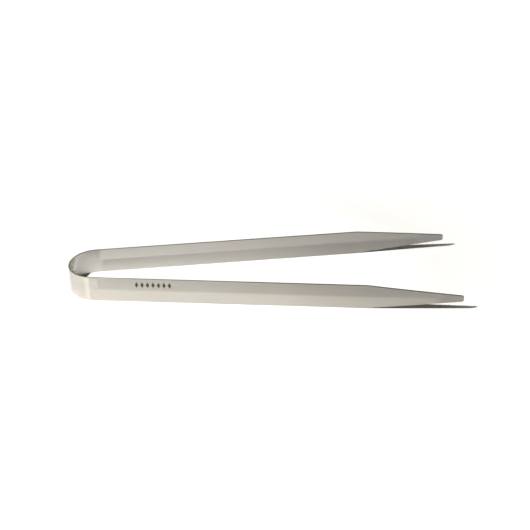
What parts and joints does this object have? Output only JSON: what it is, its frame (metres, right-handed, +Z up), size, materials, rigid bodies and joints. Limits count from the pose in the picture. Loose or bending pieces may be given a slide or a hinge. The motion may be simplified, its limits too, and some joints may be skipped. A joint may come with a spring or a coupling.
{
  "type": "stamp tongs",
  "caption": "Spring tongs of bent stainless strip for handling stamps: a half-round bow opens long stiffened arms that taper to flat, blunt gripping blades.",
  "frame": {"origin": "on the resting plane, under the middle of the overall box", "axes": "+X from the spring bow to the tips, +Y to the rear arm, +Z up across the strip's width"},
  "size_m": [0.15, 0.0474, 0.01],
  "materials": {
    "brushed_stainless": "fine satin grind along the strip, softly reflective"
  },
  "bodies": {
    "bow": {"bow": "brushed_stainless"},
    "front_arm": {"front_arm": "brushed_stainless"},
    "rear_arm": {"rear_arm": "brushed_stainless"}
  },
  "joints": [
    {"name": "front_arm_flex", "type": "hinge", "parent": "bow", "child": "front_arm", "pos_m": [-0.06521, -0.01045, 0.005], "axis": [0, 0, 1], "range_deg": [-4, 9.38], "stiffness_Nm_per_rad": 1.2},
    {"name": "rear_arm_flex", "type": "hinge", "parent": "bow", "child": "rear_arm", "pos_m": [-0.06521, 0.01045, 0.005], "axis": [0, 0, -1], "range_deg": [-4, 9.38], "stiffness_Nm_per_rad": 1.2}
  ]
}
